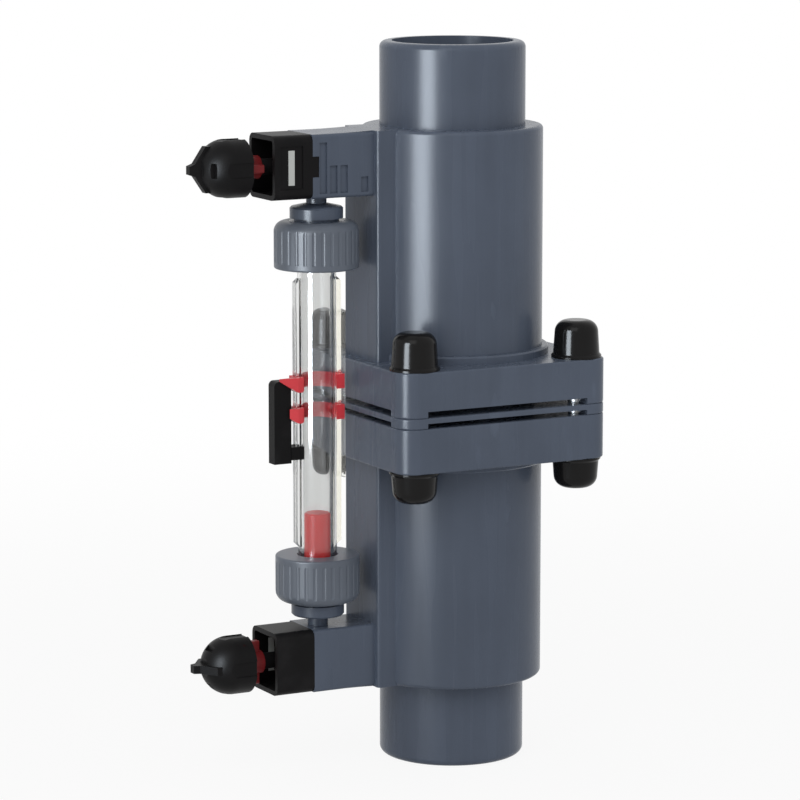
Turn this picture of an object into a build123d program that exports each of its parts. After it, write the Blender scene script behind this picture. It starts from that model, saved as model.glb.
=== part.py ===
"""Bypass rotameter for a 75 mm plastic pipe, in millimetres, +Z up.

The origin is the centre of the lower socket's mouth, on the axis of the main pipe. Two moulded
halves clamp an orifice plate between square flanges. Part of the flow leaves the lower half
through its arm, climbs a clear measuring tube past the float, and comes back through the upper
arm. A turning plug in each arm shuts the tube off. The upper half and all that it carries are
the lower ones turned over.
"""

import os

from build123d import *

# Main pipe: solvent socket, barrel and flange of one half
PIPE_OD = 75.0
SOCKET_WALL = 7.5
SOCKET_DEPTH = 44.0
SOCKET_ROUNDING = 4.0
NECK_LENGTH = 51.5
FLOW_BORE = 66.0
BARREL_OD = 112.0
BARREL_LENGTH = 141.5
BARREL_ROUNDING = 2.5
COLLAR_PROUD = 4.0
COLLAR_HEIGHT = 5.0
FLANGE_MARGIN = 16.0
FLANGE_CORNER = 12.0
FLANGE_THICKNESS = 27.7
EDGE_ROUNDING = 1.0

# Orifice plate and the slots that leave the flanges touching only at their corners
PLATE_THICKNESS = 6.6
ORIFICE_BORE = 44.0
ORIFICE_BEVEL = 2.5
PLATE_RELIEF = 3.3
FLANGE_RELIEF = 4.0
CORNER_PAD = 16.5
LAND_OD = 104.0

# Flange bolts M10 with black caps
BOLT_INSET = 15.5
BOLT_OD = 10.0
BOLT_HOLE = 11.0
HEX_ACROSS = 17.0
BOLT_HEAD = 6.4
NUT_THICKNESS = 8.0
BOLT_STICK_OUT = 3.0
WASHER_OD = 20.0
WASHER_THICKNESS = 2.0
CAP_OD = 29.0
CAP_TOP_OD = 26.0
CAP_SKIRT_OD = 31.0
CAP_SKIRT_HEIGHT = 2.5
CAP_WALL = 2.0
CAP_ROUNDING = 7.5
UPPER_CAP_HEIGHT = 23.0
LOWER_CAP_HEIGHT = 19.5

# Side pad and arm that carry the bypass channel
PAD_PROUD = 7.6
PAD_WIDTH = 44.5
FLANGE_TO_TUBE = 22.0
ARM_PAST_TUBE = 11.0
ARM_WIDTH = 35.0
ARM_HEIGHT = 39.0
ARM_INSET = 0.7
ARM_ROUNDING = 2.0
CHANNEL_BORE = 11.0
ARM_FLARE = 28.0
POCKET_DEPTH = 1.5
POCKET_WIDTH = 5.0
POCKET_PITCH = 7.0
POCKET_MARGIN = 3.0
TALL_POCKET = 31.0
HALF_POCKET = 16.8
LOW_POCKET = 9.2

# Plug valve in the arm's end
PLUG_OD = 22.0
PLUG_START = 11.5
STEM_OD = 10.0
STEM_LENGTH = 50.0
PLUG_SEAL_WIDTH = 2.6
PLUG_SEAL_DEPTH = 1.8
PLUG_SEAL_INSET = 2.0

# Black valve housing, its window and its snap tongue
HOUSING_LENGTH = 25.5
HOUSING_WALL = 3.0
HOUSING_CORNER = 5.0
WINDOW_WIDTH = 4.0
WINDOW_HEIGHT = 21.0
WINDOW_TO_MOUTH = 11.5
FRAME_WIDTH = 15.0
FRAME_HEIGHT = 26.0
FRAME_DEPTH = 0.8
TONGUE_LENGTH = 4.0
TONGUE_HEIGHT = 12.0
TONGUE_THICKNESS = 1.5

# Red turn indicator and knob
INDICATOR_WIDTH = 27.0
INDICATOR_THICKNESS = 5.0
INDICATOR_LENGTH = 8.5
INDICATOR_HUB_OD = 14.0
INDICATOR_HUB = 10.5
KNOB_GAP = 13.5
KNOB_OD = 36.0
KNOB_STRAIGHT = 10.5
KNOB_DOME = 17.0
KNOB_TIP_OD = 12.0
KNOB_WALL = 2.5
KNOB_HOLLOW = 16.0
KNOB_HUB_OD = 15.0
KNOB_SOCKET = 12.0
GROOVE_WIDTH = 9.0
GROOVE_DEPTH = 1.2
GROOVE_LENGTH = 22.5
PIT_DEPTH = 8.0
FIN_THICKNESS = 5.0
FIN_WIDTH = 28.0
FIN_START = 25.0
FIN_SHOULDER_WIDTH = 7.6
FIN_SHOULDER = 32.0
FIN_TIP_WIDTH = 5.0
FIN_END = 35.6

# Fitting between arm and tube, and its union nut
SPIGOT_OD = 19.8
SPIGOT_DEPTH = 6.0
SPIGOT_SEAL_WIDTH = 2.2
SPIGOT_SEAL_DEPTH = 1.6
FITTING_BORE = 8.0
FITTING_NECK_OD = 12.5
FITTING_NECK = 4.2
FITTING_CONE = 2.0
FITTING_COLLAR_OD = 32.6
FITTING_COLLAR = 7.0
FITTING_GROOVE = 2.5
FITTING_RISE = 15.0
THREAD_OD = 35.0
NUT_OD = 52.0
NUT_HEIGHT = 29.0
NUT_FACE = 5.0
NUT_ROUNDING = 6.5
NUT_FACE_ROUNDING = 1.2
NUT_FLUTES = 30
NUT_FLUTE_R = 2.2
NUT_FLUTE_DEPTH = 0.4
NUT_FLUTE_MARGIN = 4.0

# Clear measuring tube with its two dovetail rails
TUBE_OD = 24.0
TUBE_COLLAR_OD = 33.8
TUBE_COLLAR = 6.0
TUBE_BORE_LOW = 17.2
TUBE_BORE_HIGH = 19.6
TUBE_SEAL_WIDTH = 2.6
TUBE_SEAL_DEPTH = 1.8
TUBE_SEAL_RADIUS = 13.0
RAIL_REACH = 15.0
RAIL_ROOT = 4.0
RAIL_TIP = 6.4
RAIL_CHAMFER = 2.5
RAIL_MARGIN = 5.8
RAIL_INTO_WALL = 1.0

# Float with its magnet, and the stops at both ends of its travel
FLOAT_OD = 16.2
FLOAT_HEIGHT = 34.0
FLOAT_CONE = 5.0
FLOAT_TIP_OD = 9.0
FLOAT_EDGE = 0.6
MAGNET_OD = 8.0
MAGNET_LENGTH = 16.0
FLOAT_PLUG = 3.0
STOP_OD = 21.2
STOP_THICKNESS = 3.0
STOP_RIM = 1.6
STOP_BAR = 2.4

# Two red setpoint markers
MARKER_HEIGHT = 9.0
MARKER_WALL = 2.1
MARKER_SPAN = 19.0
LOWER_MARKER_Z = 219.0
JAW_WALL = 1.2
JAW_HALF_WIDTH = 5.0
UPPER_TAB = 12.0
LOWER_TAB = 5.0
TAB_THICKNESS = 3.0
TAB_TIP_HEIGHT = 1.5

# Limit contact on the outer rail and guide strip on the inner rail
CONTACT_Z = 194.0
CONTACT_HEIGHT = 51.0
CONTACT_DEPTH = 11.5
CONTACT_WIDTH = 8.0
CONTACT_GAP = 4.5
CONTACT_WALL = 1.2
CONTACT_ROUNDING = 3.0
CONTACT_CABLE_HOLE = 3.4
CONTACT_FOOT_INSET = 2.0
CONTACT_FOOT_HEIGHT = 8.0
REED_OD = 3.0
REED_LENGTH = 30.0
STRIP_Z = 182.0
STRIP_HEIGHT = 103.0
STRIP_THICKNESS = 2.5
STRIP_WIDTH = 6.0
STRIP_FOOT = 8.0

# Seals between flange and plate
FLANGE_SEAL_RADIUS = 42.5
FLANGE_SEAL_WIDTH = 4.2
FLANGE_SEAL_DEPTH = 2.6

# Clearances
RUNNING = 0.05
GAP = 0.3
PLAY = 0.6

# Heights and places that follow from the sizes above
COLLAR_OD = BARREL_OD + 2 * COLLAR_PROUD
FLANGE_SIDE = BARREL_OD + 2 * FLANGE_MARGIN
BOLT_SPACING = FLANGE_SIDE - 2 * BOLT_INSET
PAD_REACH = BARREL_OD / 2 + PAD_PROUD
TUBE_REACH = FLANGE_SIDE / 2 + FLANGE_TO_TUBE
ARM_REACH = TUBE_REACH + ARM_PAST_TUBE
FLANGE_Z = NECK_LENGTH + BARREL_LENGTH
FACE_Z = FLANGE_Z + FLANGE_THICKNESS
TOTAL_HEIGHT = 2 * FACE_Z + PLATE_THICKNESS
ARM_Z = NECK_LENGTH + ARM_INSET + ARM_HEIGHT / 2
ARM_TOP = ARM_Z + ARM_HEIGHT / 2
NUT_Z = ARM_TOP + FITTING_RISE
NUT_TOP = NUT_Z + NUT_HEIGHT
TUBE_END = NUT_TOP - NUT_FACE - GAP - TUBE_COLLAR
HOUSING_MOUTH = ARM_REACH + HOUSING_LENGTH
PLUG_INNER = TUBE_REACH - PLUG_START
WINDOW_X = WINDOW_TO_MOUTH - HOUSING_MOUTH
KNOB_RIM = HOUSING_MOUTH + KNOB_GAP
CONTACT_INNER = RAIL_REACH + CONTACT_GAP
BEHIND, AHEAD = -1, 1


def box(x_low, x_high, y_low, y_high, z_low, z_high):
    """A box between two corners."""
    low = (Align.MIN, Align.MIN, Align.MIN)
    return Pos(x_low, y_low, z_low) * Box(x_high - x_low, y_high - y_low, z_high - z_low, align=low)


def rod(diameter, z_low, z_high):
    """A cylinder about the vertical axis."""
    standing = (Align.CENTER, Align.CENTER, Align.MIN)
    return Pos(0, 0, z_low) * Cylinder(diameter / 2, z_high - z_low, align=standing)


def turned(outline):
    """The solid that a closed outline of (radius, height) points sweeps round the vertical axis."""
    return revolve(Plane.XZ * make_face(Polyline(*outline, close=True)), Axis.Z)


def along_arm(part):
    """Lays a part that stands on the vertical axis along the arm, with its top pointing outwards."""
    return Pos(0, 0, ARM_Z) * Rot(0, -90, 0) * part


def at_tube(part):
    """Moves a part from the vertical axis to the axis of the measuring tube."""
    return Pos(-TUBE_REACH, 0, 0) * part


def turned_over(part):
    """The same part on the upper half, which is the lower half turned over."""
    return Pos(0, 0, TOTAL_HEIGHT) * Rot(180, 0, 0) * part


def squeezed_ring(mid_radius, width, height, z_low):
    """A rubber ring, pressed flat where its groove and cover touch it."""
    corner = 0.4 * min(width, height)
    section = Pos(mid_radius, z_low + height / 2) * RectangleRounded(width, height, corner)
    return revolve(Plane.XZ * section, Axis.Z)


def at_bolts(part):
    """Copies of a part at the four bolts."""
    return [place * part for place in GridLocations(BOLT_SPACING, BOLT_SPACING, 2, 2)]


def flange_slab(z_low, thickness):
    """A square plate with rounded corners and slightly broken edges."""
    slab = Pos(0, 0, z_low) * extrude(RectangleRounded(FLANGE_SIDE, FLANGE_SIDE, FLANGE_CORNER), thickness)
    return fillet(slab.edges().filter_by(GeomType.LINE).filter_by(Axis.Z, reverse=True), EDGE_ROUNDING)


def corner_relief(z_low, depth):
    """What is cut from a flange face so that it touches only at its ring and its four corners."""
    reach = (FLANGE_SIDE - CORNER_PAD) / 2
    pads = [place * Rectangle(CORNER_PAD, CORNER_PAD) for place in GridLocations(2 * reach, 2 * reach, 2, 2)]
    region = Rectangle(FLANGE_SIDE, FLANGE_SIDE) - Circle(LAND_OD / 2) - pads
    return Pos(0, 0, z_low) * extrude(region, depth)


def arm_and_pad():
    """The flat-sided pad along the barrel and the square arm that stands out from it."""
    pad_sketch = Pos(-PAD_REACH / 2, 0) * RectangleRounded(PAD_REACH, PAD_WIDTH, ARM_ROUNDING)
    pad = Pos(0, 0, NECK_LENGTH) * extrude(pad_sketch, BARREL_LENGTH)
    arm_start = FLOW_BORE / 2
    arm = Pos(0, 0, arm_start) * extrude(
        RectangleRounded(ARM_HEIGHT, ARM_WIDTH, ARM_ROUNDING), ARM_REACH - arm_start
    )
    flare_x, arm_z = -PAD_REACH - ARM_FLARE, NECK_LENGTH + ARM_INSET
    root, inside = (-PAD_REACH, NECK_LENGTH), arm_z + ARM_ROUNDING
    flare = make_face([
        TangentArc((flare_x, arm_z), root, tangent=(1, 0)),
        Polyline(root, (-PAD_REACH, inside), (flare_x, inside), (flare_x, arm_z)),
    ])
    return pad + along_arm(arm) + extrude(Plane.XZ * flare, ARM_WIDTH / 2 - ARM_ROUNDING, both=True)


def arm_pockets():
    """Shallow pockets in the arm's side: a tall one by the housing, two half as high and a low one."""
    side, high = ARM_WIDTH / 2, ARM_TOP - POCKET_MARGIN
    first = TONGUE_LENGTH + 2 * GAP - ARM_REACH
    pockets = []
    for place, height in ((0, TALL_POCKET), (1, HALF_POCKET), (2, HALF_POCKET), (4, LOW_POCKET)):
        x = first + place * POCKET_PITCH
        pockets.append(box(x, x + POCKET_WIDTH, side - POCKET_DEPTH, side, high - height, high))
    return pockets


def arm_bores():
    """The bypass channel, the plug's chamber, the port up to the tube and the fitting's seat."""
    channel = rod(CHANNEL_BORE, 0, PLUG_INNER)
    chamber = rod(PLUG_OD, PLUG_INNER - GAP, ARM_REACH)
    port = at_tube(rod(CHANNEL_BORE, ARM_Z, ARM_TOP) + rod(SPIGOT_OD, ARM_TOP - SPIGOT_DEPTH, ARM_TOP))
    recess_depth = ARM_WIDTH / 2 - TONGUE_THICKNESS
    recess = box(
        -ARM_REACH, TONGUE_LENGTH + GAP - ARM_REACH, recess_depth, ARM_WIDTH / 2,
        ARM_Z - TONGUE_HEIGHT / 2 - GAP, ARM_Z + TONGUE_HEIGHT / 2 + GAP,
    )
    return along_arm(channel + chamber) + port + recess


def body_half():
    """One moulded half: socket neck, barrel, collar, flange, pad and arm, with all its bores."""
    socket_od = PIPE_OD + 2 * SOCKET_WALL
    neck = rod(socket_od, 0, NECK_LENGTH)
    neck = fillet(neck.edges().group_by(Axis.Z)[0], SOCKET_ROUNDING)
    barrel = rod(BARREL_OD, NECK_LENGTH, FLANGE_Z)
    barrel = fillet(barrel.edges().group_by(Axis.Z)[0], BARREL_ROUNDING)
    collar = rod(COLLAR_OD, FLANGE_Z - COLLAR_HEIGHT, FLANGE_Z)
    collar = chamfer(collar.edges().group_by(Axis.Z)[0], EDGE_ROUNDING)
    body = neck + barrel + collar + flange_slab(FLANGE_Z, FLANGE_THICKNESS) + arm_and_pad()
    body -= rod(PIPE_OD, 0, SOCKET_DEPTH) + rod(FLOW_BORE, 0, FACE_Z)
    body -= arm_bores()
    body -= arm_pockets()
    body -= at_bolts(rod(BOLT_HOLE, FLANGE_Z, FACE_Z))
    groove = rod(2 * FLANGE_SEAL_RADIUS + FLANGE_SEAL_WIDTH, FACE_Z - FLANGE_SEAL_DEPTH, FACE_Z)
    groove -= rod(2 * FLANGE_SEAL_RADIUS - FLANGE_SEAL_WIDTH, FACE_Z - FLANGE_SEAL_DEPTH, FACE_Z)
    return body - groove


def upper_half():
    """The upper half: as the lower one, with slots left round its flange face."""
    return turned_over(body_half() - corner_relief(FACE_Z - FLANGE_RELIEF, FLANGE_RELIEF))


def orifice_plate():
    """The plate between the flanges, cut back below between its ring and its corners."""
    plate = flange_slab(FACE_Z, PLATE_THICKNESS) - corner_relief(FACE_Z, PLATE_RELIEF)
    top = FACE_Z + PLATE_THICKNESS
    wide = ORIFICE_BORE / 2 + ORIFICE_BEVEL
    bore = turned([
        (0, FACE_Z), (ORIFICE_BORE / 2, FACE_Z), (ORIFICE_BORE / 2, top - ORIFICE_BEVEL), (wide, top),
        (0, top),
    ])
    return plate - bore - at_bolts(rod(BOLT_HOLE, FACE_Z, top))


def flange_seal():
    """The rubber ring in the flange face."""
    return squeezed_ring(FLANGE_SEAL_RADIUS, FLANGE_SEAL_WIDTH, FLANGE_SEAL_DEPTH, FACE_Z - FLANGE_SEAL_DEPTH)


def hexagon(z_low, thickness):
    """A hexagon with its upper corners turned off, as on a bolt head or a nut."""
    corner_radius = HEX_ACROSS / 3**0.5
    prism = Pos(0, 0, z_low) * extrude(RegularPolygon(corner_radius, 6), thickness)
    cone_rise = corner_radius - HEX_ACROSS / 2
    z_high = z_low + thickness
    shell = turned([
        (0, z_low), (corner_radius, z_low), (corner_radius, z_high - cone_rise / 2),
        (HEX_ACROSS / 2, z_high), (0, z_high),
    ])
    return prism & shell


def flange_bolt():
    """One bolt, put in from below with its head under the lower flange."""
    seat = FLANGE_Z - WASHER_THICKNESS
    head = Pos(0, 0, seat) * Rot(180, 0, 0) * hexagon(0, BOLT_HEAD)
    top = TOTAL_HEIGHT - seat + NUT_THICKNESS + BOLT_STICK_OUT
    shank = rod(BOLT_OD, seat, top)
    shank = chamfer(shank.edges().group_by(Axis.Z)[-1], EDGE_ROUNDING)
    return head + shank


def flange_nut():
    """One nut on top of the upper washer."""
    seat = TOTAL_HEIGHT - FLANGE_Z + WASHER_THICKNESS
    return hexagon(seat, NUT_THICKNESS) - rod(BOLT_OD, seat, seat + NUT_THICKNESS)


def washer_pair():
    """The washers under one bolt's head and nut."""
    washer = rod(WASHER_OD, FLANGE_Z - WASHER_THICKNESS, FLANGE_Z)
    washer -= rod(BOLT_HOLE, FLANGE_Z - WASHER_THICKNESS, FLANGE_Z)
    return [washer, turned_over(washer)]


def bolt_cap(height):
    """A hollow cap with tapered sides, a rounded top and a flared skirt, standing on z = 0."""
    outer = turned([(0, 0), (CAP_OD / 2, 0), (CAP_TOP_OD / 2, height), (0, height)])
    outer = fillet(outer.edges().group_by(Axis.Z)[-1], CAP_ROUNDING)
    outer += turned([
        (0, 0), (CAP_SKIRT_OD / 2, 0), (CAP_SKIRT_OD / 2, CAP_SKIRT_HEIGHT / 2),
        (CAP_OD / 2, CAP_SKIRT_HEIGHT), (0, CAP_SKIRT_HEIGHT),
    ])
    roof = height - CAP_WALL
    inner = turned([(0, 0), (CAP_OD / 2 - CAP_WALL, 0), (CAP_TOP_OD / 2 - CAP_WALL, roof), (0, roof)])
    inner = fillet(inner.edges().group_by(Axis.Z)[-1], CAP_ROUNDING - CAP_WALL)
    return outer - inner


def valve_plug():
    """The turning plug: flow enters its inner end and leaves through its side, with a stem outwards."""
    plug = rod(PLUG_OD - 2 * RUNNING, PLUG_INNER, ARM_REACH - GAP)
    plug += rod(STEM_OD, ARM_REACH - GAP, ARM_REACH + STEM_LENGTH)
    plug -= rod(CHANNEL_BORE, PLUG_INNER, TUBE_REACH)
    side_port = Pos(0, 0, TUBE_REACH) * Rot(0, 90, 0) * rod(CHANNEL_BORE, 0, PLUG_OD)
    plug -= side_port + Pos(0, 0, TUBE_REACH) * Sphere(CHANNEL_BORE / 2)
    for z_low in plug_seal_heights():
        groove = rod(PLUG_OD, z_low, z_low + PLUG_SEAL_WIDTH)
        plug -= groove - rod(PLUG_OD - 2 * PLUG_SEAL_DEPTH, z_low, z_low + PLUG_SEAL_WIDTH)
    return plug


def plug_seal_heights():
    """Where the two rings sit, measured outwards from the main axis."""
    return [PLUG_INNER + PLUG_SEAL_INSET, ARM_REACH - GAP - PLUG_SEAL_INSET - PLUG_SEAL_WIDTH]


def plug_seals():
    """The two rubber rings in the plug's grooves."""
    depth = PLUG_SEAL_DEPTH - RUNNING - RUNNING / 2
    mid_radius = PLUG_OD / 2 - PLUG_SEAL_DEPTH + depth / 2
    return [squeezed_ring(mid_radius, depth, PLUG_SEAL_WIDTH, z_low) for z_low in plug_seal_heights()]


def valve_housing():
    """The square black housing on the arm's end: open outwards, with a framed window on one side."""
    outer = extrude(RectangleRounded(ARM_HEIGHT, ARM_WIDTH, HOUSING_CORNER), HOUSING_LENGTH)
    hollow = extrude(
        RectangleRounded(
            ARM_HEIGHT - 2 * HOUSING_WALL, ARM_WIDTH - 2 * HOUSING_WALL, HOUSING_CORNER - HOUSING_WALL
        ),
        HOUSING_LENGTH,
    )
    housing = outer - Pos(0, 0, HOUSING_WALL) * hollow - rod(STEM_OD + 2 * GAP, 0, HOUSING_WALL)
    housing = along_arm(Pos(0, 0, ARM_REACH) * housing)
    side = ARM_WIDTH / 2
    housing -= box(
        WINDOW_X - FRAME_WIDTH / 2, WINDOW_X + FRAME_WIDTH / 2, side - FRAME_DEPTH, side,
        ARM_Z - FRAME_HEIGHT / 2, ARM_Z + FRAME_HEIGHT / 2,
    )
    housing -= window_opening(side - HOUSING_WALL, side)
    tongue = box(
        -ARM_REACH - HOUSING_WALL, TONGUE_LENGTH - ARM_REACH, side - TONGUE_THICKNESS, side,
        ARM_Z - TONGUE_HEIGHT / 2, ARM_Z + TONGUE_HEIGHT / 2,
    )
    return housing + tongue


def window_opening(y_low, y_high):
    """The slot in the housing's window frame, between two depths."""
    return box(
        WINDOW_X - WINDOW_WIDTH / 2, WINDOW_X + WINDOW_WIDTH / 2, y_low, y_high,
        ARM_Z - WINDOW_HEIGHT / 2, ARM_Z + WINDOW_HEIGHT / 2,
    )


def window_strip():
    """The light strip that fills the window's slot."""
    side = ARM_WIDTH / 2
    return window_opening(side - HOUSING_WALL, side - FRAME_DEPTH / 2)


def turn_indicator():
    """The red blade on the stem, in line with the knob's fin, with its hub against the knob."""
    blade = Pos(0, 0, KNOB_RIM - INDICATOR_LENGTH) * extrude(
        RectangleRounded(INDICATOR_WIDTH, INDICATOR_THICKNESS, EDGE_ROUNDING), INDICATOR_LENGTH
    )
    hub = rod(INDICATOR_HUB_OD, KNOB_RIM - INDICATOR_HUB, KNOB_RIM)
    return blade + hub - rod(STEM_OD, KNOB_RIM - INDICATOR_HUB, KNOB_RIM)


def dome():
    """A blunt bullet: a straight skirt and a round nose with a flat tip."""
    radius, tip = KNOB_OD / 2, KNOB_TIP_OD / 2
    high = KNOB_STRAIGHT + KNOB_DOME
    outline = [
        Polyline((tip, high), (0, high), (0, 0), (radius, 0), (radius, KNOB_STRAIGHT)),
        TangentArc((radius, KNOB_STRAIGHT), (tip, high), tangent=(0, 1)),
    ]
    return revolve(Plane.XZ * make_face(outline), Axis.Z)


def nose_fin():
    """The fin across the nose that one holds to turn the knob: it runs out to a blunt point."""
    wide, shoulder, tip = FIN_WIDTH / 2, FIN_SHOULDER_WIDTH / 2, FIN_TIP_WIDTH / 2
    outline = make_face(Polyline(
        (0, KNOB_STRAIGHT), (wide, KNOB_STRAIGHT), (wide, FIN_START), (shoulder, FIN_SHOULDER),
        (tip, FIN_END), (0, FIN_END), close=True,
    ))
    side = Plane.YZ * (outline + mirror(outline, Plane.YZ))
    return extrude(side, FIN_THICKNESS / 2, both=True)


def knob():
    """The knob: a hollow blunt bullet with four flat grooves, two of them ending in a pit, and a fin."""
    radius, half = KNOB_OD / 2, GROOVE_WIDTH / 2
    floor, pit_floor = radius - GROOVE_DEPTH, radius - PIT_DEPTH
    groove = box(floor, radius, -half, half, 0, GROOVE_LENGTH)
    pit = box(pit_floor, radius, -half, half, GROOVE_LENGTH, KNOB_STRAIGHT + KNOB_DOME)
    cavity = rod(KNOB_OD - 2 * KNOB_WALL, 0, KNOB_HOLLOW)
    cavity = fillet(cavity.edges().group_by(Axis.Z)[-1], KNOB_WALL)
    cavity -= rod(KNOB_HUB_OD, 0, KNOB_HOLLOW)
    whole = dome() + nose_fin() - pit - Rot(0, 0, 180) * pit - cavity - rod(STEM_OD, 0, KNOB_SOCKET)
    return Pos(0, 0, KNOB_RIM) * (whole - [Rot(0, 0, turn) * groove for turn in (0, 90, 180, 270)])


def tube_fitting():
    """The fitting from the arm to the tube: spigot, neck, cone, collar and threaded end."""
    port, spigot, neck = FITTING_BORE / 2, SPIGOT_OD / 2, FITTING_NECK_OD / 2
    collar, thread = FITTING_COLLAR_OD / 2, THREAD_OD / 2 - GAP
    cone_z = ARM_TOP + FITTING_NECK
    collar_z = cone_z + FITTING_CONE
    body = turned([
        (port, ARM_TOP - SPIGOT_DEPTH), (spigot, ARM_TOP - SPIGOT_DEPTH), (spigot, ARM_TOP), (neck, ARM_TOP),
        (neck, cone_z), (collar - EDGE_ROUNDING, collar_z), (collar, collar_z + EDGE_ROUNDING),
        (collar, collar_z + FITTING_COLLAR), (collar - FITTING_GROOVE, collar_z + FITTING_COLLAR),
        (collar - FITTING_GROOVE, NUT_Z), (thread, NUT_Z), (thread, TUBE_END), (port, TUBE_END),
    ])
    seal_z = spigot_seal_z()
    groove = rod(SPIGOT_OD, seal_z, seal_z + SPIGOT_SEAL_WIDTH)
    groove -= rod(SPIGOT_OD - 2 * SPIGOT_SEAL_DEPTH, seal_z, seal_z + SPIGOT_SEAL_WIDTH)
    face_groove = rod(2 * TUBE_SEAL_RADIUS + TUBE_SEAL_WIDTH, TUBE_END - TUBE_SEAL_DEPTH, TUBE_END)
    face_groove -= rod(2 * TUBE_SEAL_RADIUS - TUBE_SEAL_WIDTH, TUBE_END - TUBE_SEAL_DEPTH, TUBE_END)
    return body - groove - face_groove


def spigot_seal_z():
    """The height of the ring round the fitting's spigot."""
    return ARM_TOP - (SPIGOT_DEPTH + SPIGOT_SEAL_WIDTH) / 2


def spigot_seal():
    """The rubber ring between the spigot and the arm."""
    mid_radius = (SPIGOT_OD - SPIGOT_SEAL_DEPTH) / 2
    return squeezed_ring(mid_radius, SPIGOT_SEAL_DEPTH, SPIGOT_SEAL_WIDTH, spigot_seal_z())


def tube_seal():
    """The rubber ring between the fitting's end and the tube's collar."""
    return squeezed_ring(TUBE_SEAL_RADIUS, TUBE_SEAL_WIDTH, TUBE_SEAL_DEPTH, TUBE_END - TUBE_SEAL_DEPTH)


def union_nut():
    """The fluted nut: a flat face with a hole towards the tube, rounded off towards the arm."""
    nut = rod(NUT_OD, NUT_Z, NUT_TOP)
    nut = fillet(nut.edges().group_by(Axis.Z)[0], NUT_ROUNDING)
    nut = fillet(nut.edges().group_by(Axis.Z)[-1], NUT_FACE_ROUNDING)
    flute_circle = NUT_OD / 2 + NUT_FLUTE_R - NUT_FLUTE_DEPTH
    flute = rod(2 * NUT_FLUTE_R, NUT_Z, NUT_TOP - NUT_FLUTE_MARGIN)
    nut -= [place * flute for place in PolarLocations(flute_circle, NUT_FLUTES)]
    nut -= rod(THREAD_OD, NUT_Z, NUT_TOP - NUT_FACE)
    return nut - rod(TUBE_OD + 2 * PLAY, NUT_Z, NUT_TOP)


def rail_outline(clearance):
    """The dovetail section of one rail, pointing along +X, grown by a clearance."""
    root, tip = RAIL_ROOT / 2 + clearance, RAIL_TIP / 2 + clearance
    inner, outer = TUBE_OD / 2 - RAIL_INTO_WALL, RAIL_REACH + clearance
    return make_face(Polyline((inner, -root), (outer, -tip), (outer, tip), (inner, root), close=True))


def rail():
    """One dovetail rail with its ends sloped off."""
    low = NUT_TOP + RAIL_MARGIN
    solid = Pos(0, 0, low) * extrude(rail_outline(0), TOTAL_HEIGHT - 2 * low)
    ends = solid.edges().filter_by(Axis.Y).group_by(Axis.X)[-1]
    return chamfer(ends, RAIL_CHAMFER)


def measuring_tube():
    """The clear tube: a bore that widens upwards, a collar at each end and a rail on each side."""
    top = TOTAL_HEIGHT - TUBE_END
    wall, collar = TUBE_OD / 2, TUBE_COLLAR_OD / 2
    body = turned([
        (0, TUBE_END), (collar, TUBE_END), (collar, TUBE_END + TUBE_COLLAR), (wall, TUBE_END + TUBE_COLLAR),
        (wall, top - TUBE_COLLAR), (collar, top - TUBE_COLLAR), (collar, top), (0, top),
    ])
    body += rail() + Rot(0, 0, 180) * rail()
    bore = turned([(0, TUBE_END), (TUBE_BORE_LOW / 2, TUBE_END), (TUBE_BORE_HIGH / 2, top), (0, top)])
    seats = rod(STOP_OD, TUBE_END, TUBE_END + STOP_THICKNESS) + rod(STOP_OD, top - STOP_THICKNESS, top)
    return body - bore - seats


def float_stop():
    """The ring with a cross that keeps the float in the tube."""
    z_high = TUBE_END + STOP_THICKNESS
    rim = rod(STOP_OD, TUBE_END, z_high) - rod(STOP_OD - 2 * STOP_RIM - 2 * PLAY, TUBE_END, z_high)
    bar = Rectangle(STOP_OD - STOP_RIM, STOP_BAR) + Rectangle(STOP_BAR, STOP_OD - STOP_RIM)
    return rim + Pos(0, 0, TUBE_END) * extrude(bar, STOP_THICKNESS)


def float_floor():
    """The height of the float's lowest point at rest, just clear of its stop."""
    return TUBE_END + STOP_THICKNESS + GAP


def flow_float():
    """The red float: a cylinder with a tapered foot, bored from below for its magnet."""
    low, radius = float_floor(), FLOAT_OD / 2
    high = low + FLOAT_HEIGHT
    body = turned([
        (0, low), (FLOAT_TIP_OD / 2, low), (radius, low + FLOAT_CONE), (radius, high - FLOAT_EDGE),
        (radius - FLOAT_EDGE, high), (0, high),
    ])
    return body - rod(MAGNET_OD, low, low + FLOAT_PLUG + MAGNET_LENGTH)


def float_magnet():
    """The bar magnet that works the limit contact."""
    low = float_floor() + FLOAT_PLUG
    return rod(MAGNET_OD, low, low + MAGNET_LENGTH)


def float_plug():
    """The plug that closes the float below its magnet."""
    return rod(MAGNET_OD, float_floor(), float_floor() + FLOAT_PLUG)


def jaw(direction):
    """The part of a clip that grips the rail on one side, as a flat outline."""
    reach = RAIL_REACH + GAP + JAW_WALL
    inner = TUBE_OD / 2 - JAW_WALL
    block = Pos((inner + reach) / 2, 0) * Rectangle(reach - inner, 2 * JAW_HALF_WIDTH)
    cut = rail_outline(GAP) + Circle(TUBE_OD / 2 + GAP)
    shape = block - cut
    return shape if direction == AHEAD else Rot(0, 0, 180) * shape


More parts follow.
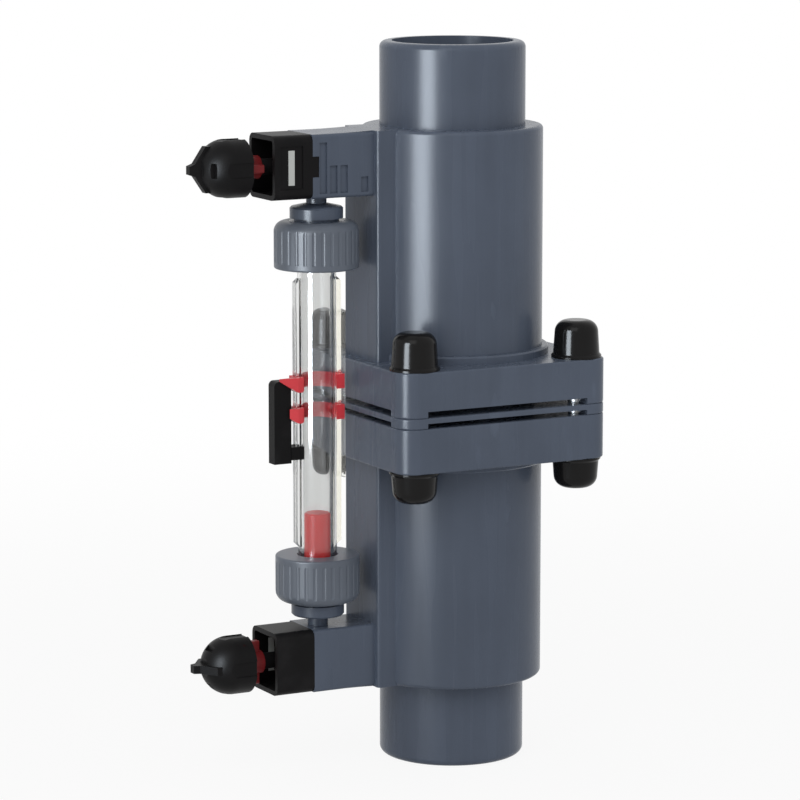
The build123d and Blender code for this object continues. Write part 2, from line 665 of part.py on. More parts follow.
def setpoint_marker(z_low, tab_length):
    """A red clip: a band behind the tube, a jaw on each rail and a tab that slopes off outwards."""
    inner = TUBE_OD / 2 + GAP
    band = Circle(inner + MARKER_WALL) - Circle(inner)
    band &= Pos(0, JAW_HALF_WIDTH - JAW_WALL) * Rectangle(
        4 * inner, 2 * inner, align=(Align.CENTER, Align.MIN)
    )
    tab_root = -RAIL_REACH - GAP - JAW_WALL
    tab_end, tab_top = tab_root + TAB_THICKNESS, JAW_WALL - JAW_HALF_WIDTH
    tab_foot = -JAW_HALF_WIDTH - TAB_THICKNESS
    tab = make_face(Polyline(
        (tab_end, tab_top), (tab_root, tab_top), (tab_root - tab_length, -JAW_HALF_WIDTH - EDGE_ROUNDING),
        (tab_root, tab_foot), (tab_end, tab_foot), close=True,
    ))
    clip = extrude(band + jaw(AHEAD) + jaw(BEHIND) + tab, MARKER_HEIGHT)
    slope_end = tab_root - UPPER_TAB
    slope = make_face(Polyline(
        (tab_root, 0), (slope_end, MARKER_HEIGHT - TAB_TIP_HEIGHT), (slope_end, 0), close=True
    ))
    return Pos(0, 0, z_low) * (clip - extrude(Plane.XZ * slope, MARKER_HEIGHT, both=True))


def contact_housing():
    """The limit contact's box, open towards the cover, with its foot round the outer rail."""
    outer, inner = -CONTACT_INNER - CONTACT_DEPTH, -CONTACT_INNER
    half, top = CONTACT_WIDTH / 2, CONTACT_Z + CONTACT_HEIGHT
    shell = box(outer, inner, -half, half, CONTACT_Z, top)
    shell = fillet(shell.edges().filter_by(Axis.Y).group_by(Axis.Z)[-1].group_by(Axis.X)[0], CONTACT_ROUNDING)
    shell -= box(
        outer + CONTACT_WALL, inner - CONTACT_WALL, CONTACT_WALL - half, half,
        CONTACT_Z + CONTACT_WALL, top - CONTACT_ROUNDING,
    )
    middle = -CONTACT_INNER - CONTACT_DEPTH / 2
    shell -= Pos(middle, 0, 0) * rod(CONTACT_CABLE_HOLE, CONTACT_Z, CONTACT_Z + CONTACT_WALL)
    foot_z = CONTACT_Z + CONTACT_FOOT_INSET
    reach = RAIL_REACH + GAP + JAW_WALL
    foot = jaw(BEHIND) + Pos(-(reach + CONTACT_INNER) / 2, 0) * Rectangle(
        CONTACT_INNER - reach, 2 * JAW_HALF_WIDTH
    )
    return shell + Pos(0, 0, foot_z) * extrude(foot, CONTACT_FOOT_HEIGHT)


def contact_cover():
    """The lid in the open side of the contact's box."""
    outer, inner = -CONTACT_INNER - CONTACT_DEPTH, -CONTACT_INNER
    half, top = CONTACT_WIDTH / 2, CONTACT_Z + CONTACT_HEIGHT
    return box(
        outer + CONTACT_WALL, inner - CONTACT_WALL, half - CONTACT_WALL, half,
        CONTACT_Z + CONTACT_WALL, top - CONTACT_ROUNDING,
    )


def reed_switch():
    """The glass capsule inside the contact, lying against the wall that faces the tube."""
    x = -CONTACT_INNER - CONTACT_WALL - REED_OD / 2
    z_low = CONTACT_Z + (CONTACT_HEIGHT - REED_LENGTH) / 2
    capsule = rod(REED_OD, z_low, z_low + REED_LENGTH)
    return Pos(x, CONTACT_WALL - CONTACT_WIDTH / 2 + REED_OD / 2, 0) * capsule


def guide_strip():
    """The black strip beside the inner rail, held by a foot at each end."""
    inner = RAIL_REACH + 2 * GAP + JAW_WALL
    strip = box(
        inner, inner + STRIP_THICKNESS, -STRIP_WIDTH / 2, STRIP_WIDTH / 2, STRIP_Z, STRIP_Z + STRIP_HEIGHT
    )
    block = Pos((TUBE_OD / 2 + inner) / 2, 0) * Rectangle(inner - TUBE_OD / 2, 2 * JAW_HALF_WIDTH)
    foot = extrude(block - rail_outline(0) - Circle(TUBE_OD / 2), STRIP_FOOT)
    return strip + Pos(0, 0, STRIP_Z) * foot + Pos(0, 0, STRIP_Z + STRIP_HEIGHT - STRIP_FOOT) * foot


def shared_parts():
    """The pieces that the lower and the upper end have alike, in place on the lower end."""
    return {
        "flange_seal": flange_seal(),
        "valve_plug": along_arm(valve_plug()),
        "plug_seals": [along_arm(ring) for ring in plug_seals()],
        "valve_housing": valve_housing(),
        "window_strip": window_strip(),
        "turn_indicator": along_arm(turn_indicator()),
        "knob": along_arm(knob()),
        "tube_fitting": at_tube(tube_fitting()),
        "spigot_seal": at_tube(spigot_seal()),
        "tube_seal": at_tube(tube_seal()),
        "union_nut": at_tube(union_nut()),
        "float_stop": at_tube(float_stop()),
    }


def single_parts():
    """The pieces that the meter has once, or as one set."""
    upper_marker_z = LOWER_MARKER_Z + MARKER_SPAN
    return {
        "lower_body": body_half(),
        "upper_body": upper_half(),
        "orifice_plate": orifice_plate(),
        "flange_bolts": at_bolts(flange_bolt()),
        "flange_nuts": at_bolts(flange_nut()),
        "flange_washers": [piece for washer in washer_pair() for piece in at_bolts(washer)],
        "measuring_tube": at_tube(measuring_tube()),
        "flow_float": at_tube(flow_float()),
        "float_magnet": at_tube(float_magnet()),
        "float_plug": at_tube(float_plug()),
        "lower_marker": at_tube(setpoint_marker(LOWER_MARKER_Z, LOWER_TAB)),
        "upper_marker": at_tube(setpoint_marker(upper_marker_z, UPPER_TAB)),
        "contact_housing": at_tube(contact_housing()),
        "contact_cover": at_tube(contact_cover()),
        "reed_switch": at_tube(reed_switch()),
        "guide_strip": at_tube(guide_strip()),
    }


def cap_parts():
    """One cap over each bolt head and one over each nut."""
    parts = {}
    upper = Pos(0, 0, TOTAL_HEIGHT - FLANGE_Z) * bolt_cap(UPPER_CAP_HEIGHT)
    lower = Pos(0, 0, FLANGE_Z) * Rot(180, 0, 0) * bolt_cap(LOWER_CAP_HEIGHT)
    for number, (high, low) in enumerate(zip(at_bolts(upper), at_bolts(lower)), start=1):
        parts[f"upper_bolt_cap_{number}"] = high
        parts[f"lower_bolt_cap_{number}"] = low
    return parts


def quarter_turned(part):
    """A part of the upper valve, which stands a quarter turn from the lower one."""
    return Pos(0, 0, ARM_Z) * Rot(90, 0, 0) * Pos(0, 0, -ARM_Z) * part


def every_part():
    """All pieces by name."""
    parts = single_parts() | cap_parts()
    turning = ("valve_plug", "plug_seals", "turn_indicator", "knob")
    for name, part in shared_parts().items():
        pieces = part if isinstance(part, list) else [part]
        upper = [quarter_turned(piece) for piece in pieces] if name in turning else pieces
        parts[f"lower_{name}"] = pieces
        parts[f"upper_{name}"] = [turned_over(piece) for piece in upper]
    return parts


def main():
    os.makedirs("parts", exist_ok=True)
    for name, part in every_part().items():
        pieces = part if isinstance(part, list) else [part]
        solids = [solid for piece in pieces for solid in piece.solids()]
        whole = solids[0] if len(solids) == 1 else Compound(children=solids)
        whole.label = name
        export_step(whole, f"parts/{name}.step")


main()
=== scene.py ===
"""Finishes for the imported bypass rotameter, its slim guide strip, and its stage, lights and camera.

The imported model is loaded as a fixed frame. Every node but the guide strip keeps its shape and
gets a finish. A slim clear strip stands for the guide strip, because the photo shows no dark
strip there. A pale floor, soft lights and a camera follow. Lengths are in metres.
"""

import math

import bpy
import numpy as np
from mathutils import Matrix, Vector


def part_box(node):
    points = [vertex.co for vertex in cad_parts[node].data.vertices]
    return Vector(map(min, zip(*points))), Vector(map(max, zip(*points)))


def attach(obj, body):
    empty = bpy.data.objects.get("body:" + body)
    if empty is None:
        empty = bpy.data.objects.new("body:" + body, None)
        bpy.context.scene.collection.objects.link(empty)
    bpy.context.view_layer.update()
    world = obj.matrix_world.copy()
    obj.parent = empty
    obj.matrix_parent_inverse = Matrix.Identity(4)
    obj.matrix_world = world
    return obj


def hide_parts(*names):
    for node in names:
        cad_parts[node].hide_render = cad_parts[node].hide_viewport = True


bl_info = {
    "name": "Bypass rotameter",
    "version": (1, 0, 0),
    "blender": (4, 5, 0),
    "location": "3D View > Sidebar > Rotameter",
    "description": "Dresses a packed bypass rotameter and sets its stage, lights and camera",
    "category": "Object",
}

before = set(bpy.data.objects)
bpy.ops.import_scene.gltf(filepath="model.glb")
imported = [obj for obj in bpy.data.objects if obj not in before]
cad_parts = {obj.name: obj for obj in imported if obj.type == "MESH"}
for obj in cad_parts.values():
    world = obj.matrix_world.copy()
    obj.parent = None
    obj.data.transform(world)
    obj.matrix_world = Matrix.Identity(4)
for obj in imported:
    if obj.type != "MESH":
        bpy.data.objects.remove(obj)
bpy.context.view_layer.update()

TUBE_LOW, TUBE_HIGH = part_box("measuring_tube")
TUBE_X = (TUBE_LOW.x + TUBE_HIGH.x) / 2
TUBE_RADIUS = 0.012  # without its rails

STRIP_LOW, STRIP_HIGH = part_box("guide_strip")
CAD_STRIP_THICKNESS = 0.0025
HOOK_PLAY = 0.0004  # by which the slim strip's hooks are shorter than the CAD strip's reach
EDGE_SEGMENTS = 2

CLEAR_IOR, STRIP_IOR, REED_IOR = 1.22, 1.06, 1.5
CLOUD_SHARE, STREAK_SHARE = 0.65, 0.35
COARSE_PEEL, FINE_PEEL = 0.7, 0.3
STREAKED, SCUFFED = (1.0, 1.0, 0.06), (1.0, 1.0, 0.3)
DRAWN, TURNED = (1.0, 1.0, 0.02), (0.05, 0.05, 1.0)
TINT_EDGE = 0.0004  # width of the step from one tint of the tube to the other

SENSOR = 36.0
CLIP_START, CLIP_END = 0.05, 100.0
WHITE = (1.0, 1.0, 1.0, 1.0)
KEY_TURN, KEY_ELEVATION = math.radians(-12), math.radians(42)
KEY_REACH, KEY_SIZE = 1.9, 1.1
STRIP_LAMP_TURN, STRIP_LAMP_REACH = math.radians(-39), 1.25
STRIP_LAMP_HEIGHT, STRIP_LAMP_Z = 0.95, 0.42
FLOOR_RINGS = (0.25, 0.5, 1.0, 2.0, 4.0, 9.0, 20.0)
FLOOR_SIDES = 48
FLOOR_WHITE_NEAR = 0.90  # share of plain white beside the object, where its shadow falls
FADE_START, FADE_END = 0.35, 1.3


def colour(name, description, red, green, blue):
    """A colour property, with its default in linear light."""
    return bpy.props.FloatVectorProperty(
        name=name, description=description, subtype="COLOR", size=3, min=0.0, max=1.0,
        default=(red, green, blue),
    )


def length(name, description, metres):
    """A length property, with its default in metres."""
    return bpy.props.FloatProperty(
        name=name, description=description, subtype="DISTANCE", unit="LENGTH", min=0.0,
        default=metres, precision=5,
    )


def angle(name, description, degrees):
    """An angle property, with its default in degrees."""
    return bpy.props.FloatProperty(
        name=name, description=description, subtype="ANGLE", unit="ROTATION",
        default=math.radians(degrees),
    )


def number(name, description, default, **limits):
    """A plain number property."""
    return bpy.props.FloatProperty(name=name, description=description, default=default, **limits)


class RotameterColours(bpy.types.PropertyGroup):
    """Colours of the finishes."""

    body: colour("Body", "Grey plastic of the body, plate and fittings", 0.097, 0.118, 0.160)
    nut: colour("Union nuts", "Lighter grey plastic of the two union nuts", 0.135, 0.155, 0.190)
    housing: colour("Housings", "Black plastic of housings, knobs, contact", 0.010, 0.0095, 0.010)
    cap: colour("Bolt caps", "Glossy black plastic of the bolt caps", 0.010, 0.0095, 0.0095)
    # The indicators' red is darkened: painted shade for the shadow inside the housing mouth.
    red: colour("Indicators", "Red plastic of the two turn indicators", 0.17, 0.010, 0.012)
    flow_float: colour("Float", "Red plastic of the float and its plug", 0.85, 0.035, 0.035)
    clip: colour("Clips", "Red plastic of the two setpoint clips", 0.78, 0.060, 0.075)
    tube: colour("Tube", "Tint of the clear tube", 0.77, 0.775, 0.77)
    rail: colour("Inner rail", "Tint of the tube's rail on the side of the body", 0.88, 0.86, 0.77)
    strip: colour("Guide strip", "Tint of the clear guide strip", 0.95, 0.95, 0.93)
    rubber: colour("Seals", "Rubber of the seals", 0.012, 0.012, 0.012)
    steel: colour("Steel", "Zinc-plated steel of the bolts", 0.52, 0.53, 0.54)
    # On the window strips this light grey partly stands in for a painted highlight in the slot.
    light: colour("Light parts", "Light plastic of window strips and float stops", 0.55, 0.57, 0.55)


class RotameterStrip(bpy.types.PropertyGroup):
    """Sizes of the guide strip beside the tube's inner rail."""

    thickness: length("Thickness", "Thickness of the strip", 0.0014)
    width: length("Width", "Width of the strip", 0.0060)
    hook: length("Hook height", "Height of the hook at each end of the strip", 0.0030)
    leg: length("Hook thickness", "Thickness of the hook's leg behind the rail", 0.0012)
    corner: length("Rounding", "Radius of the strip's edges", 0.0003)


class RotameterStage(bpy.types.PropertyGroup):
    """The camera's place and lens, the floor's colour and the lights."""

    azimuth: angle("Azimuth", "How far the camera stands to the side of the front", -27.95)
    elevation: angle("Elevation", "How far the camera stands above the object", 9.40)
    distance: length("Distance", "Distance of the camera from its target", 2.40)
    target_x: number("Target X", "Where the camera looks, along X", -0.03648)
    target_z: number("Target Z", "Where the camera looks, along Z", 0.22669)
    lens: number("Lens", "Focal length of the camera in mm", 174.45)
    floor: colour("Floor", "Pale floor", 0.80, 0.80, 0.80)
    ambient: number("Ambient", "Light from all sides", 0.62, min=0.0)
    key: number("Key lamp", "Power of the key lamp in W", 7.0, min=0.0)
    strip: number("Strip lamp", "Power of the strip lamp in W", 64.0, min=0.0)
    strip_width: length("Strip lamp width", "Width of the strip lamp", 0.50)
    cool: colour("Strip lamp colour", "Colour of the strip lamp", 0.84, 0.92, 1.0)


class Value:
    """A number socket that takes part in arithmetic: each operation adds one Math node."""

    def __init__(self, finish, socket):
        self.finish, self.socket = finish, socket

    def _math(self, operation, first, second):
        return self.finish.node("ShaderNodeMath", {"operation": operation}, {0: first, 1: second})

    def __add__(self, other):
        return self._math("ADD", self, other)

    def __sub__(self, other):
        return self._math("SUBTRACT", self, other)

    def __rsub__(self, other):
        return self._math("SUBTRACT", other, self)

    def __mul__(self, other):
        return self._math("MULTIPLY", self, other)

    __radd__, __rmul__ = __add__, __mul__


class Finish:
    """A node tree that is built by calls: one method adds every kind of node."""

    def __init__(self, name):
        self.material = bpy.data.materials.new(name)
        self.material.use_nodes = True
        self.tree = self.material.node_tree
        self.tree.nodes.clear()

    def node(self, kind, settings=None, sockets=None, out=0):
        """Adds a node with its settings, then its sockets' values or links. Returns one output."""
        made = self.tree.nodes.new(kind)
        for name, setting in (settings or {}).items():
            setattr(made, name, setting)
        for name, given in (sockets or {}).items():
            if isinstance(given, Value):
                self.tree.links.new(given.socket, made.inputs[name])
            else:
                made.inputs[name].default_value = given
        return Value(self, made.outputs[out] if len(made.outputs) else None)

    def noise(self, scale, detail=2.0, stretch=(1.0, 1.0, 1.0)):
        """Cloudy noise from 0 to 1 that stays put on the piece."""
        at = self.node("ShaderNodeTexCoord", out="Object")
        placed = self.node("ShaderNodeMapping", None, {"Vector": at, "Scale": stretch})
        sockets = {"Vector": placed, "Scale": scale, "Detail": detail}
        return self.node("ShaderNodeTexNoise", None, sockets)

    def mask(self, value, low, high):
        """0 below low and 1 above high, with a smooth step between."""
        return self.node(
            "ShaderNodeMapRange", {"interpolation_type": "SMOOTHSTEP"},
            {"Value": value, "From Min": low, "From Max": high},
        )

    def mix(self, share, first, second):
        """A blend of two colours."""
        sockets = {0: share, 6: first, 7: second}
        return self.node("ShaderNodeMix", {"data_type": "RGBA"}, sockets, out=2)

    def bump(self, height, strength, distance):
        """The normal of a surface that a height between 0 and 1 roughens."""
        sockets = {"Height": height, "Strength": strength, "Distance": distance}
        return self.node("ShaderNodeBump", None, sockets)

    def surface(self, sockets):
        """Ends the tree with a Principled surface and returns the material."""
        shader = self.node("ShaderNodeBsdfPrincipled", None, sockets)
        self.node("ShaderNodeOutputMaterial", None, {"Surface": shader})
        return self.material


def shade(base, factor):
    """A colour made lighter or darker, with its alpha."""
    return tuple(min(1.0, part * factor) for part in base) + (1.0,)


def moulded_plastic(name, base, roughness, gloss, variety=0.10, grain=0.25):
    """Moulded plastic: slow flow clouds and faint streaks in its colour, and a fine orange peel."""
    finish = Finish(name)
    clouds = finish.noise(scale=14.0, detail=3.0)
    streaks = finish.noise(scale=90.0, detail=2.0, stretch=STREAKED)
    tone = finish.mask(clouds * CLOUD_SHARE + streaks * STREAK_SHARE, low=0.3, high=0.7)
    body = finish.mix(tone, shade(base, 1 - variety), shade(base, 1 + variety))
    scuffs = finish.mask(finish.noise(scale=55.0, detail=6.0, stretch=SCUFFED), low=0.64, high=0.74)
    worn = finish.mix(scuffs * 0.25, body, shade(base, 1.7))
    coarse, fine = finish.noise(scale=420.0, detail=2.0), finish.noise(scale=2400.0, detail=1.0)
    peel = coarse * COARSE_PEEL + fine * FINE_PEEL
    return finish.surface({
        "Base Color": worn,
        "Roughness": roughness + (streaks - 0.5) * 0.10 + scuffs * 0.10,
        "Specular IOR Level": gloss,
        "Normal": finish.bump(peel, strength=grain, distance=0.00015),
    })


def grained_plastic(name, base, roughness, gloss):
    """Satin black plastic with a fine leather-like grain and a trace of dust."""
    finish = Finish(name)
    grain = finish.noise(scale=1500.0, detail=3.0)
    dust = finish.mask(finish.noise(scale=38.0, detail=5.0), low=0.52, high=0.75)
    return finish.surface({
        "Base Color": finish.mix(dust * 0.5, shade(base, 0.85), shade(base, 2.2)),
        "Roughness": roughness + dust * 0.12 + (grain - 0.5) * 0.10,
        "Specular IOR Level": gloss,
        "Normal": finish.bump(grain, strength=0.35, distance=0.00012),
    })


def clear_plastic(name, tint, ior, far_tint, far_x):
    """Clear plastic: a slight tint, another one beyond a place along X, and draw lines along it."""
    finish = Finish(name)
    lines = finish.noise(scale=260.0, detail=2.0, stretch=DRAWN)
    place = finish.node("ShaderNodeTexCoord", out="Object")
    along = finish.node("ShaderNodeSeparateXYZ", None, {0: place}, "X")
    drawn = finish.mix(lines, shade(tint, 0.97), shade(tint, 1.0))
    far = finish.mask(along, far_x - TINT_EDGE, far_x)
    return finish.surface({
        "Base Color": finish.mix(far, drawn, shade(far_tint, 1.0)),
        "Roughness": 0.02 + lines * 0.03,
        "Transmission Weight": 1.0,
        "IOR": ior,
        "Coat Weight": 1.0,
        "Coat Roughness": 0.05,
        "Normal": finish.bump(lines, strength=0.05, distance=0.0001),
    })


def rubber(name, base):
    """Matt rubber with a fine bloom."""
    finish = Finish(name)
    bloom = finish.noise(scale=160.0, detail=4.0)
    return finish.surface({
        "Base Color": finish.mix(bloom, shade(base, 0.8), shade(base, 1.8)),
        "Roughness": 0.62 + bloom * 0.2,
        "Specular IOR Level": 0.3,
        "Normal": finish.bump(finish.noise(scale=1800.0), strength=0.3, distance=0.0001),
    })


def steel(name, base):
    """Zinc-plated steel with fine turning lines and dull patches."""
    finish = Finish(name)
    patches = finish.noise(scale=70.0, detail=4.0)
    lines = finish.noise(scale=900.0, detail=2.0, stretch=TURNED)
    return finish.surface({
        "Base Color": finish.mix(patches, shade(base, 0.8), shade(base, 1.15)),
        "Roughness": 0.24 + patches * 0.18 + lines * 0.06,
        "Metallic": 1.0,
        "Normal": finish.bump(lines, strength=0.15, distance=0.00005),
    })


def lets_light_through(piece):
    """A clear piece neither shades nor gathers light on what stands beside it."""
    piece.visible_shadow = False
    piece.visible_diffuse = False


def dress(material, *names):
    """Gives CAD nodes a material, without touching their meshes."""
    for name in names:
        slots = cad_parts[name].data.materials
        slots.clear()
        slots.append(material)


def both_ends(*names):
    """The names of the pieces that the lower and the upper end both have."""
    return [f"{end}_{name}" for name in names for end in ("lower", "upper")]


def carried_up(outline, low, high):
    """An outline carried straight up from one height to another, closed at both ends."""
    count = len(outline)
    rows = np.repeat([low, high], count)
    points = np.column_stack((np.tile(outline, (2, 1)), rows))
    at = np.arange(count)
    after = np.roll(at, -1)
    sides = np.column_stack((at, after, after + count, at + count)).tolist()
    return points, sides + [at[::-1].tolist(), (at + count).tolist()]


def joined(parts):
    """The points and faces of several shapes as one list of each."""
    points, faces, start = [], [], 0
    for some_points, some_faces in parts:
        points.append(some_points)
        faces += [[start + corner for corner in face] for face in some_faces]
        start += len(some_points)
    return np.vstack(points), faces


def new_piece(name, points, faces, material, body):
    """A mesh of points and faces that rides on a body."""
    mesh = bpy.data.meshes.new(name)
    mesh.from_pydata(points.tolist(), [], faces)
    mesh.update()
    piece = bpy.data.objects.new(name, mesh)
    bpy.context.scene.collection.objects.link(piece)
    mesh.materials.append(material)
    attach(piece, body)
    return piece


class RotameterPiece(bpy.types.Operator):
    """What the rotameter's operators have in common."""

    bl_options = {"REGISTER", "UNDO"}

    def execute(self, context):
        self.make(context.scene.rotameter_colours, context.scene)
        return {"FINISHED"}


class ROTAMETER_OT_body(RotameterPiece):
    """Grey moulded plastic on the body halves, the plate and the fittings."""

    bl_idname = "rotameter.body"
    bl_label = "Body"

    def make(self, colours, scene):
        grey = moulded_plastic("grey_moulding", colours.body, roughness=0.27, gloss=0.13)
        dress(grey, "orifice_plate", *both_ends("body", "tube_fitting"))


class ROTAMETER_OT_union_nuts(RotameterPiece):
    """Lighter grey plastic on the two union nuts."""

    bl_idname = "rotameter.union_nuts"
    bl_label = "Union nuts"

    def make(self, colours, scene):
        grey = moulded_plastic("nut_moulding", colours.nut, roughness=0.36, gloss=0.19)
        dress(grey, *both_ends("union_nut"))


class ROTAMETER_OT_valves(RotameterPiece):
    """Satin black housings, knobs and plugs; red turn indicators darkened as painted shade; light
    window strips, partly a painted highlight.
    """

    bl_idname = "rotameter.valves"
    bl_label = "Valves"

    def make(self, colours, scene):
        black = grained_plastic("valve_black", colours.housing, roughness=0.40, gloss=0.07)
        dress(black, *both_ends("valve_housing", "knob", "valve_plug"))
        # Dark red: painted shade for the shadow inside the housing mouth.
        red = moulded_plastic(
            "indicator_red_painted_shade", colours.red, roughness=0.35, gloss=0.22, variety=0.05)
        dress(red, *both_ends("turn_indicator"))
        # Light grey window strips: partly a painted highlight on grey plastic in the slot.
        light = moulded_plastic(
            "window_light_painted_highlight", colours.light, roughness=0.45, gloss=0.22, variety=0.05)
        dress(light, *both_ends("window_strip"))


class ROTAMETER_OT_bolts(RotameterPiece):
    """Steel bolts, nuts and washers under glossy black caps."""

    bl_idname = "rotameter.bolts"
    bl_label = "Bolts and caps"

    def make(self, colours, scene):
        dress(steel("zinc_plate", colours.steel), "flange_bolts", "flange_nuts", "flange_washers")
        caps = [f"{name}_{corner}" for name in both_ends("bolt_cap") for corner in range(1, 5)]
        black = moulded_plastic(
            "cap_black", colours.cap, roughness=0.16, gloss=0.12, variety=0.15, grain=0.12)
        dress(black, *caps)


class ROTAMETER_OT_seals(RotameterPiece):
    """Black rubber on all seals."""

    bl_idname = "rotameter.seals"
    bl_label = "Seals"

    def make(self, colours, scene):
        seals = both_ends("flange_seal", "plug_seals", "spigot_seal", "tube_seal")
        dress(rubber("seal_rubber", colours.rubber), *seals)


class ROTAMETER_OT_tube(RotameterPiece):
    """Clear plastic on the measuring tube, and its light float stops."""

    bl_idname = "rotameter.tube"
    bl_label = "Measuring tube"

    def make(self, colours, scene):
        rail_x = TUBE_X + TUBE_RADIUS
        clear = clear_plastic("tube_clear", colours.tube, CLEAR_IOR, colours.rail, rail_x)
        dress(clear, "measuring_tube")
        lets_light_through(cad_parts["measuring_tube"])
        light = moulded_plastic(
            "stop_light", colours.light, roughness=0.4, gloss=0.22, variety=0.05)
        dress(light, *both_ends("float_stop"))


class ROTAMETER_OT_float(RotameterPiece):
    """Red plastic on the float and its plug, bare metal on its magnet."""

    bl_idname = "rotameter.float"
    bl_label = "Float"

    def make(self, colours, scene):
        red = moulded_plastic(
            "float_red", colours.flow_float, roughness=0.22, gloss=0.14, variety=0.06)
        dress(red, "flow_float", "float_plug")
        dress(steel("magnet_metal", colours.steel), "float_magnet")


class ROTAMETER_OT_markers(RotameterPiece):
    """Red plastic on the two setpoint clips."""

    bl_idname = "rotameter.markers"
    bl_label = "Setpoint clips"

    def make(self, colours, scene):
        red = moulded_plastic(
            "marker_red", colours.clip, roughness=0.28, gloss=0.25, variety=0.08)
        dress(red, *both_ends("marker"))


class ROTAMETER_OT_contact(RotameterPiece):
    """Satin black plastic on the limit contact, glass on its reed switch."""

    bl_idname = "rotameter.contact"
    bl_label = "Limit contact"

    def make(self, colours, scene):
        black = grained_plastic("contact_black", colours.housing, roughness=0.45, gloss=0.07)
        dress(black, "contact_housing", "contact_cover")
        glass = clear_plastic("reed_glass", colours.tube, REED_IOR, colours.tube, 0.0)
        dress(glass, "reed_switch")


class ROTAMETER_OT_guide_strip(RotameterPiece):
    """The thin clear strip beside the inner rail, with a small hook behind the rail at each end."""

    bl_idname = "rotameter.guide_strip"
    bl_label = "Guide strip"

    def make(self, colours, scene):
        sizes = scene.rotameter_strip
        middle, inner = (STRIP_LOW.y + STRIP_HIGH.y) / 2, STRIP_HIGH.x - CAD_STRIP_THICKNESS
        outer, half, back = inner + sizes.thickness, sizes.width / 2, STRIP_HIGH.y
        low, high = STRIP_LOW.z, STRIP_HIGH.z
        leg, root, tip = back - sizes.leg, middle + half - sizes.leg, STRIP_LOW.x + HOOK_PLAY
        bar = [
            (inner, middle - half), (outer, middle - half),
            (outer, middle + half), (inner, middle + half),
        ]
        hook = [(outer, root), (outer, back), (tip, back), (tip, leg), (inner, leg), (inner, root)]
        points, faces = joined([
            carried_up(np.array(bar), low, high),
            carried_up(np.array(hook), low, low + sizes.hook),
            carried_up(np.array(hook), high - sizes.hook, high),
        ])
        clear = clear_plastic("strip_clear", colours.strip, STRIP_IOR, colours.strip, 0.0)
        strip = new_piece("guide_strip_slim", points, faces, clear, "frame")
        lets_light_through(strip)
        rounding = strip.modifiers.new("edges", "BEVEL")
        rounding.width, rounding.segments = sizes.corner, EDGE_SEGMENTS
        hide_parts("guide_strip")


class ROTAMETER_OT_stage(RotameterPiece):
    """A pale floor, soft studio light and the camera."""

    bl_idname = "rotameter.stage"
    bl_label = "Stage"

    def make(self, colours, scene):
        sizes = scene.rotameter_stage
        scene.view_settings.view_transform = "Standard"
        make_floor(sizes)
        make_world(scene, sizes)
        target = Vector((sizes.target_x, 0.0, sizes.target_z))
        make_camera(scene, sizes, target)
        soft_light(
            "key", target, sizes.azimuth + KEY_TURN, KEY_ELEVATION, KEY_REACH,
            (KEY_SIZE, KEY_SIZE), sizes.key,
        )
        lamp = soft_light(
            "strip", Vector((0.0, 0.0, STRIP_LAMP_Z)), sizes.azimuth + STRIP_LAMP_TURN, 0.0,
            STRIP_LAMP_REACH, (sizes.strip_width, STRIP_LAMP_HEIGHT), sizes.strip,
        )
        lamp.visible_diffuse = False
        lamp.data.color = sizes.cool


def direction(azimuth, elevation):
    """The unit vector towards a place at an azimuth from the front and an elevation."""
    level = math.cos(elevation)
    return Vector((math.sin(azimuth) * level, -math.cos(azimuth) * level, math.sin(elevation)))


def aim(thing, place, target):
    """Puts a camera or lamp at a place and turns it to a target."""
    thing.location = place
    thing.rotation_mode = "QUATERNION"
    thing.rotation_quaternion = (target - place).to_track_quat("-Z", "Y")


def soft_light(name, target, azimuth, elevation, reach, size, power):
    """A rectangular lamp, unseen by the camera and through glass."""
    lamp = bpy.data.lights.new(name, "AREA")
    lamp.shape, lamp.energy = "RECTANGLE", power
    lamp.size, lamp.size_y = size
    holder = bpy.data.objects.new(name, lamp)
    bpy.context.scene.collection.objects.link(holder)
    aim(holder, target + reach * direction(azimuth, elevation), target)
    holder.visible_camera = False
    holder.visible_transmission = False
    return holder


def make_camera(scene, sizes, target):
    """The camera at the photograph's angle."""
    lens = bpy.data.cameras.new("camera")
    lens.sensor_width, lens.lens = SENSOR, sizes.lens
    lens.clip_start, lens.clip_end = CLIP_START, CLIP_END
    camera = bpy.data.objects.new("camera", lens)
    scene.collection.objects.link(camera)
    aim(camera, target + sizes.distance * direction(sizes.azimuth, sizes.elevation), target)
    scene.camera = camera


def sees_background(finish):
    """1 for rays that show the background: straight to the camera, by a mirror or through glass."""
    rays = [finish.node("ShaderNodeLightPath", out=name) for name in
            ("Is Camera Ray", "Is Glossy Ray", "Is Transmission Ray")]
    total = rays[0] + rays[1] + rays[2]
    return finish.node("ShaderNodeMath", {"operation": "MINIMUM"}, {0: total, 1: 1.0})


def make_world(scene, sizes):
    """A white background, with softer light of the same colour on the object."""
    world = bpy.data.worlds.new("studio")
    world.use_nodes = True
    scene.world = world
    finish = Finish("studio_nodes")
    bpy.data.materials.remove(finish.material)
    finish.tree = world.node_tree
    finish.tree.nodes.clear()
    strength = sizes.ambient + (1.0 - sizes.ambient) * sees_background(finish)
    light = finish.node("ShaderNodeBackground", None, {"Color": WHITE, "Strength": strength})
    finish.node("ShaderNodeOutputWorld", None, {"Surface": light})


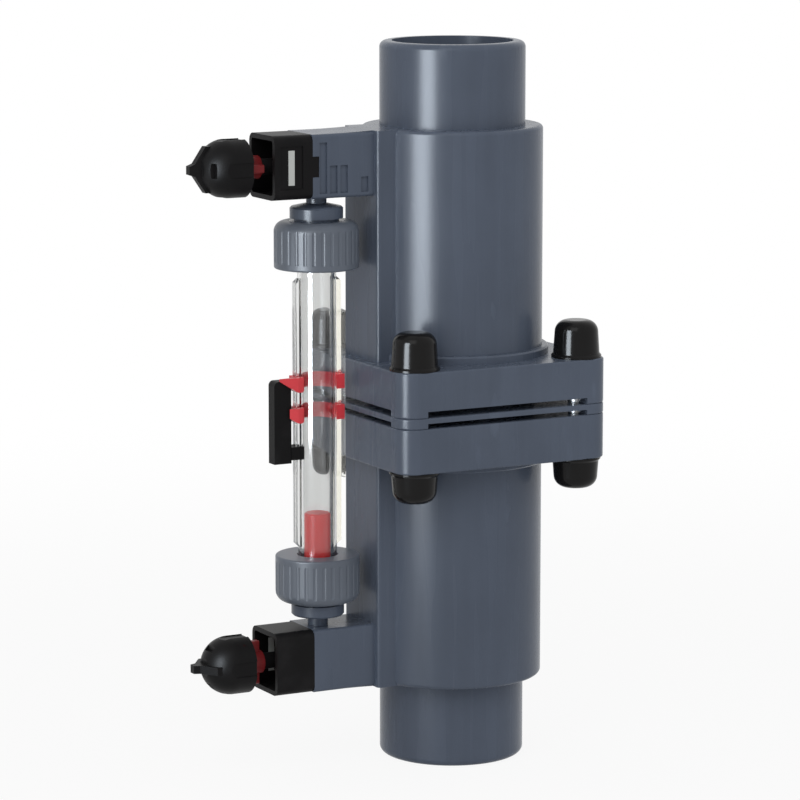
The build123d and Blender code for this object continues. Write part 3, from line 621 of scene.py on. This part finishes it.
def make_floor(sizes):
    """A round floor: rings of points round one in the middle."""
    turns = np.linspace(0, 2 * math.pi, FLOOR_SIDES, endpoint=False)
    radius, turn = (grid.ravel() for grid in np.meshgrid(FLOOR_RINGS, turns, indexing="ij"))
    rim = np.column_stack((radius * np.cos(turn), radius * np.sin(turn), np.zeros(len(turn))))
    points = np.vstack((np.zeros((1, 3)), rim))
    at = 1 + np.arange(len(rim)).reshape(len(FLOOR_RINGS), FLOOR_SIDES)
    after = np.roll(at, -1, axis=1)
    quads = np.stack((at[:-1], at[1:], after[1:], after[:-1]), axis=-1).reshape(-1, 4)
    fan = np.column_stack((np.zeros(FLOOR_SIDES, int), at[0], after[0]))
    mesh = bpy.data.meshes.new("floor")
    mesh.from_pydata(points.tolist(), [], quads.tolist() + fan.tolist())
    floor = bpy.data.objects.new("floor", mesh)
    bpy.context.scene.collection.objects.link(floor)
    mesh.materials.append(floor_paper(sizes))


def floor_paper(sizes):
    """Pale paper that keeps a faint shadow near the object and fades to plain white further off."""
    finish = Finish("floor_paper")
    at = finish.node("ShaderNodeTexCoord", out="Object")
    away = finish.node("ShaderNodeVectorMath", {"operation": "LENGTH"}, {0: at}, out="Value")
    far = finish.mask(away, FADE_START, FADE_END)
    fade = FLOOR_WHITE_NEAR + (1.0 - FLOOR_WHITE_NEAR) * far
    fibre = finish.noise(scale=300.0, detail=4.0)
    lit = finish.node("ShaderNodeBsdfDiffuse", None, {
        "Color": finish.mix(fibre, shade(sizes.floor, 0.97), shade(sizes.floor, 1.03)),
    })
    white = finish.node("ShaderNodeEmission", None, {"Color": WHITE, "Strength": 1.0})
    share = fade * sees_background(finish)
    paper = finish.node("ShaderNodeMixShader", None, {0: share, 1: lit, 2: white})
    under = finish.node("ShaderNodeNewGeometry", out="Backfacing")
    clear = finish.node("ShaderNodeBsdfTransparent")
    finish.node("ShaderNodeOutputMaterial", None, {
        "Surface": finish.node("ShaderNodeMixShader", None, {0: under, 1: paper, 2: clear}),
    })
    return finish.material


PIECES = (
    ROTAMETER_OT_body, ROTAMETER_OT_union_nuts, ROTAMETER_OT_valves, ROTAMETER_OT_bolts,
    ROTAMETER_OT_seals, ROTAMETER_OT_tube, ROTAMETER_OT_float, ROTAMETER_OT_markers,
    ROTAMETER_OT_contact, ROTAMETER_OT_guide_strip, ROTAMETER_OT_stage,
)
GROUPS = {
    "rotameter_colours": RotameterColours,
    "rotameter_strip": RotameterStrip,
    "rotameter_stage": RotameterStage,
}


class ROTAMETER_PT_panel(bpy.types.Panel):
    """The rotameter's pieces and sizes in the sidebar."""

    bl_label = "Bypass rotameter"
    bl_space_type = "VIEW_3D"
    bl_region_type = "UI"
    bl_category = "Rotameter"

    def draw(self, context):
        for piece in PIECES:
            self.layout.operator(piece.bl_idname)
        for group_name, group in GROUPS.items():
            box = self.layout.box()
            for name in group.__annotations__:
                box.prop(getattr(context.scene, group_name), name)


def register():
    for made in (*GROUPS.values(), *PIECES, ROTAMETER_PT_panel):
        bpy.utils.register_class(made)
    for name, group in GROUPS.items():
        setattr(bpy.types.Scene, name, bpy.props.PointerProperty(type=group))


def unregister():
    for name in GROUPS:
        delattr(bpy.types.Scene, name)
    for made in (ROTAMETER_PT_panel, *PIECES, *GROUPS.values()):
        bpy.utils.unregister_class(made)


def main():
    """Makes every piece in order."""
    register()
    for piece in PIECES:
        group, name = piece.bl_idname.split(".")
        getattr(getattr(bpy.ops, group), name)()


if __name__ == "__main__":
    main()
